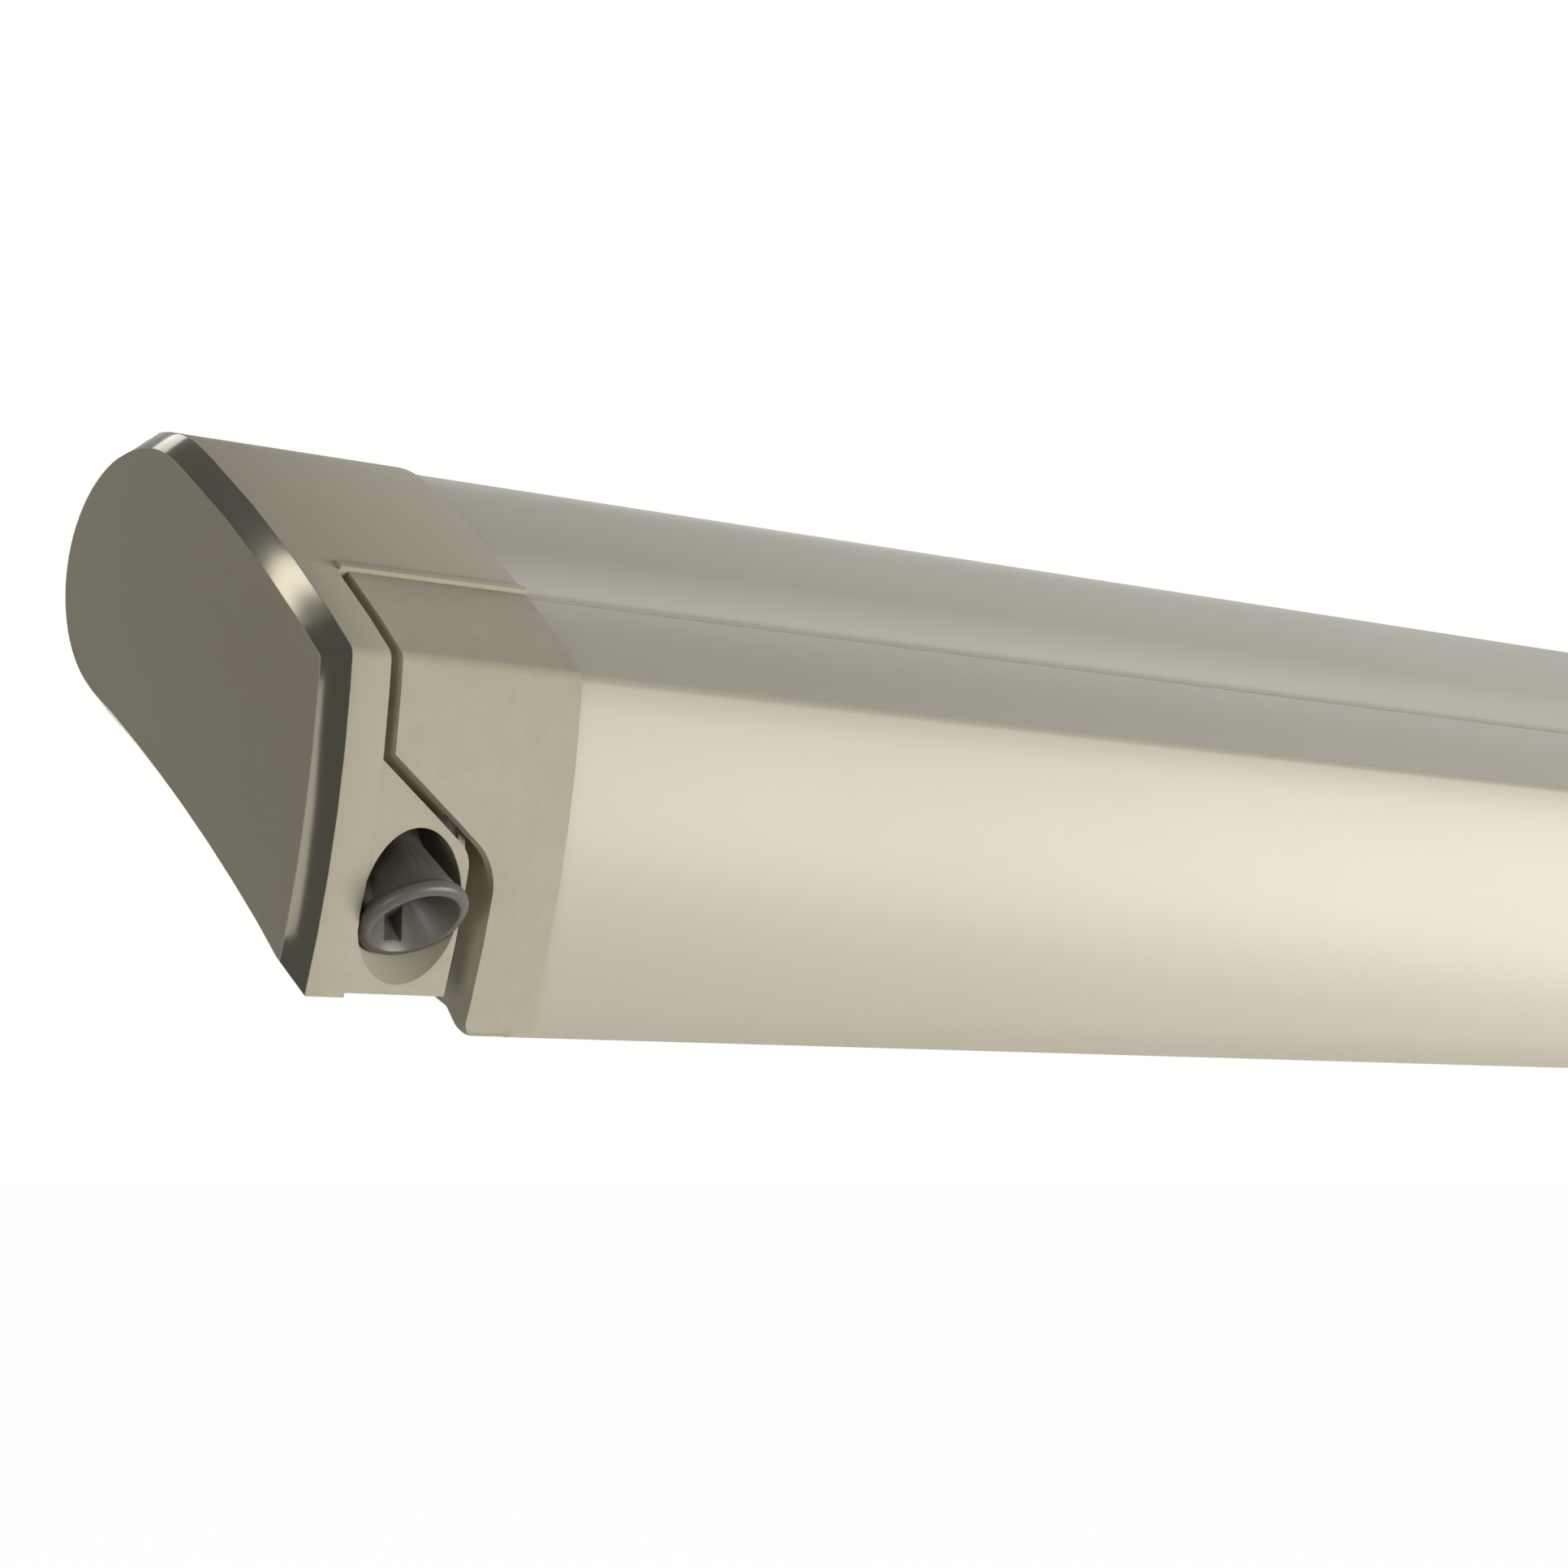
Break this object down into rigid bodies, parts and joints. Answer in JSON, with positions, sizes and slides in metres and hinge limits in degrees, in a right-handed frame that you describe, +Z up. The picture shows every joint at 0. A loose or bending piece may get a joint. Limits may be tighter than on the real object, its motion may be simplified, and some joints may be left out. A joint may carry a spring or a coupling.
{
  "type": "roll out awning",
  "caption": "Closed cassette awning with moulded end caps, a crank eye, folding arms, wound fabric and a front rail that stores the support legs.",
  "frame": {"origin": "middle of the flat sloped seat on the housing's underside", "axes": "+X along the awning from the crank end, -Y to the side that opens, +Z up"},
  "size_m": [2.6, 0.1497, 0.1804],
  "materials": {
    "cream_paint": "satin powder coat",
    "cap_plastic": "fine grain",
    "cast_alloy": "as cast",
    "cast_dark": "matt paint",
    "steel": "zinc plated",
    "bronze": "machined",
    "bare_alloy": "anodised",
    "cloth": "woven",
    "rubber": "matt",
    "dark_plastic": "satin"
  },
  "bodies": {
    "cassette": {"housing_profile": "cream_paint", "seam_seal": "rubber", "end_plate_left": "cast_alloy", "end_plate_right": "cast_alloy", "end_cap_left": "cap_plastic", "end_cap_right": "cap_plastic", "cap_screws": "steel", "plate_screws": "steel", "gear_casing": "cast_alloy", "gear_cover": "dark_plastic", "roller_bush": "dark_plastic", "idler_axle": "steel", "shoulder_bracket_left": "cast_alloy", "shoulder_bracket_right": "cast_alloy", "shoulder_pins": "steel", "bracket_screws": "steel", "fabric_run": "cloth"},
    "crank": {"crank_eye": "dark_plastic", "worm_shaft": "steel"},
    "roller": {"worm_wheel": "bronze", "roller_tube": "bare_alloy", "roller_plug_left": "dark_plastic", "roller_plug_right": "dark_plastic", "idler_bush": "rubber", "fabric_roll": "cloth"},
    "fabric_front": {"fabric_hem": "cloth"},
    "upper_arm_left": {"shoulder_knuckle_left": "cast_dark", "upper_arm_left": "cream_paint", "arm_spring_left": "steel", "elbow_fork_left": "cast_dark", "elbow_pin_left": "steel"},
    "forearm_left": {"elbow_knuckle_left": "cast_dark", "forearm_left": "cream_paint", "wrist_knuckle_left": "cast_dark"},
    "upper_arm_right": {"shoulder_knuckle_right": "cast_dark", "upper_arm_right": "cream_paint", "arm_spring_right": "steel", "elbow_fork_right": "cast_dark", "elbow_pin_right": "steel"},
    "forearm_right": {"elbow_knuckle_right": "cast_dark", "forearm_right": "cream_paint", "wrist_knuckle_right": "cast_dark"},
    "rail": {"lead_rail": "cream_paint", "rail_cap_left": "cap_plastic", "rail_cap_right": "cap_plastic", "keder_rod": "rubber", "wrist_bracket_left": "cast_alloy", "wrist_bracket_right": "cast_alloy", "wrist_pins": "steel", "leg_bracket_left": "dark_plastic", "leg_bracket_right": "dark_plastic", "leg_pins": "steel"},
    "leg_left": {"leg_outer_left": "bare_alloy"},
    "leg_slide_left": {"leg_inner_left": "bare_alloy", "leg_foot_left": "rubber"},
    "lever_left": {"clamp_lever_left": "dark_plastic"},
    "leg_right": {"leg_outer_right": "bare_alloy"},
    "leg_slide_right": {"leg_inner_right": "bare_alloy", "leg_foot_right": "rubber"},
    "lever_right": {"clamp_lever_right": "dark_plastic"}
  },
  "joints": [
    {"name": "arm_fold", "type": "hinge", "parent": "cassette", "child": "upper_arm_left", "pos_m": [-1.17, -0.0286, 0.01472], "axis": [0, 0.1392, -0.9903], "range_deg": [0, 65.87]},
    {"name": "elbow_left", "type": "hinge", "parent": "upper_arm_left", "child": "forearm_left", "pos_m": [-0.06, -0.05039, 0.01166], "axis": [0, 0.1392, -0.9903], "range_deg": [-131.74, 0]},
    {"name": "wrist_left", "type": "hinge", "parent": "forearm_left", "child": "rail", "pos_m": [-1.17, -0.07217, 0.0086], "axis": [0, 0.1392, -0.9903], "range_deg": [0, 65.87]},
    {"name": "shoulder_right", "type": "hinge", "parent": "cassette", "child": "upper_arm_right", "pos_m": [1.17, -0.0286, 0.01472], "axis": [0, 0.1392, -0.9903], "range_deg": [-65.87, 0]},
    {"name": "elbow_right", "type": "hinge", "parent": "upper_arm_right", "child": "forearm_right", "pos_m": [0.06, -0.05039, 0.01166], "axis": [0, 0.1392, -0.9903], "range_deg": [0, 131.74]},
    {"name": "fabric_out", "type": "slide", "parent": "cassette", "child": "fabric_front", "axis": [0, -0.9903, -0.1392], "range_m": [0, 2.0002], "deforming": ["fabric_run"]},
    {"name": "roller_spin", "type": "hinge", "parent": "cassette", "child": "roller", "pos_m": [0, 0.0108, 0.06022], "axis": [1, 0, 0], "range_deg": [0, 3372]},
    {"name": "crank_spin", "type": "hinge", "parent": "cassette", "child": "crank", "pos_m": [-1.263, -0.0818, -0.04578], "axis": [0, 0.5446, 0.8387], "range_deg": [0, 25283]},
    {"name": "leg_swing_left", "type": "hinge", "parent": "rail", "child": "leg_left", "pos_m": [-1.188, -0.0531, -0.04728], "axis": [0, 1, 0], "range_deg": [0, 90]},
    {"name": "leg_extend_left", "type": "slide", "parent": "leg_left", "child": "leg_slide_left", "axis": [1, 0, 0], "range_m": [0, 0.95]},
    {"name": "lever_turn_left", "type": "hinge", "parent": "leg_left", "child": "lever_left", "pos_m": [0.026, -0.0531, -0.06268], "axis": [0, -1, 0], "range_deg": [0, 80]},
    {"name": "leg_swing_right", "type": "hinge", "parent": "rail", "child": "leg_right", "pos_m": [1.188, -0.0301, -0.03028], "axis": [0, -1, 0], "range_deg": [0, 90]},
    {"name": "leg_extend_right", "type": "slide", "parent": "leg_right", "child": "leg_slide_right", "axis": [-1, 0, 0], "range_m": [0, 0.95]},
    {"name": "lever_turn_right", "type": "hinge", "parent": "leg_right", "child": "lever_right", "pos_m": [-0.026, -0.0301, -0.04568], "axis": [0, 1, 0], "range_deg": [0, 80]}
  ],
  "couplings": [
    {"joint": "elbow_left", "follows": "arm_fold", "ratio": -2},
    {"joint": "wrist_left", "follows": "arm_fold", "ratio": 1},
    {"joint": "shoulder_right", "follows": "arm_fold", "ratio": -1},
    {"joint": "elbow_right", "follows": "arm_fold", "ratio": 2},
    {"joint": "fabric_out", "follows": "arm_fold", "m_per_rad": 1.7397},
    {"joint": "roller_spin", "follows": "arm_fold", "ratio": 51.167},
    {"joint": "crank_spin", "follows": "arm_fold", "ratio": 383.75}
  ]
}
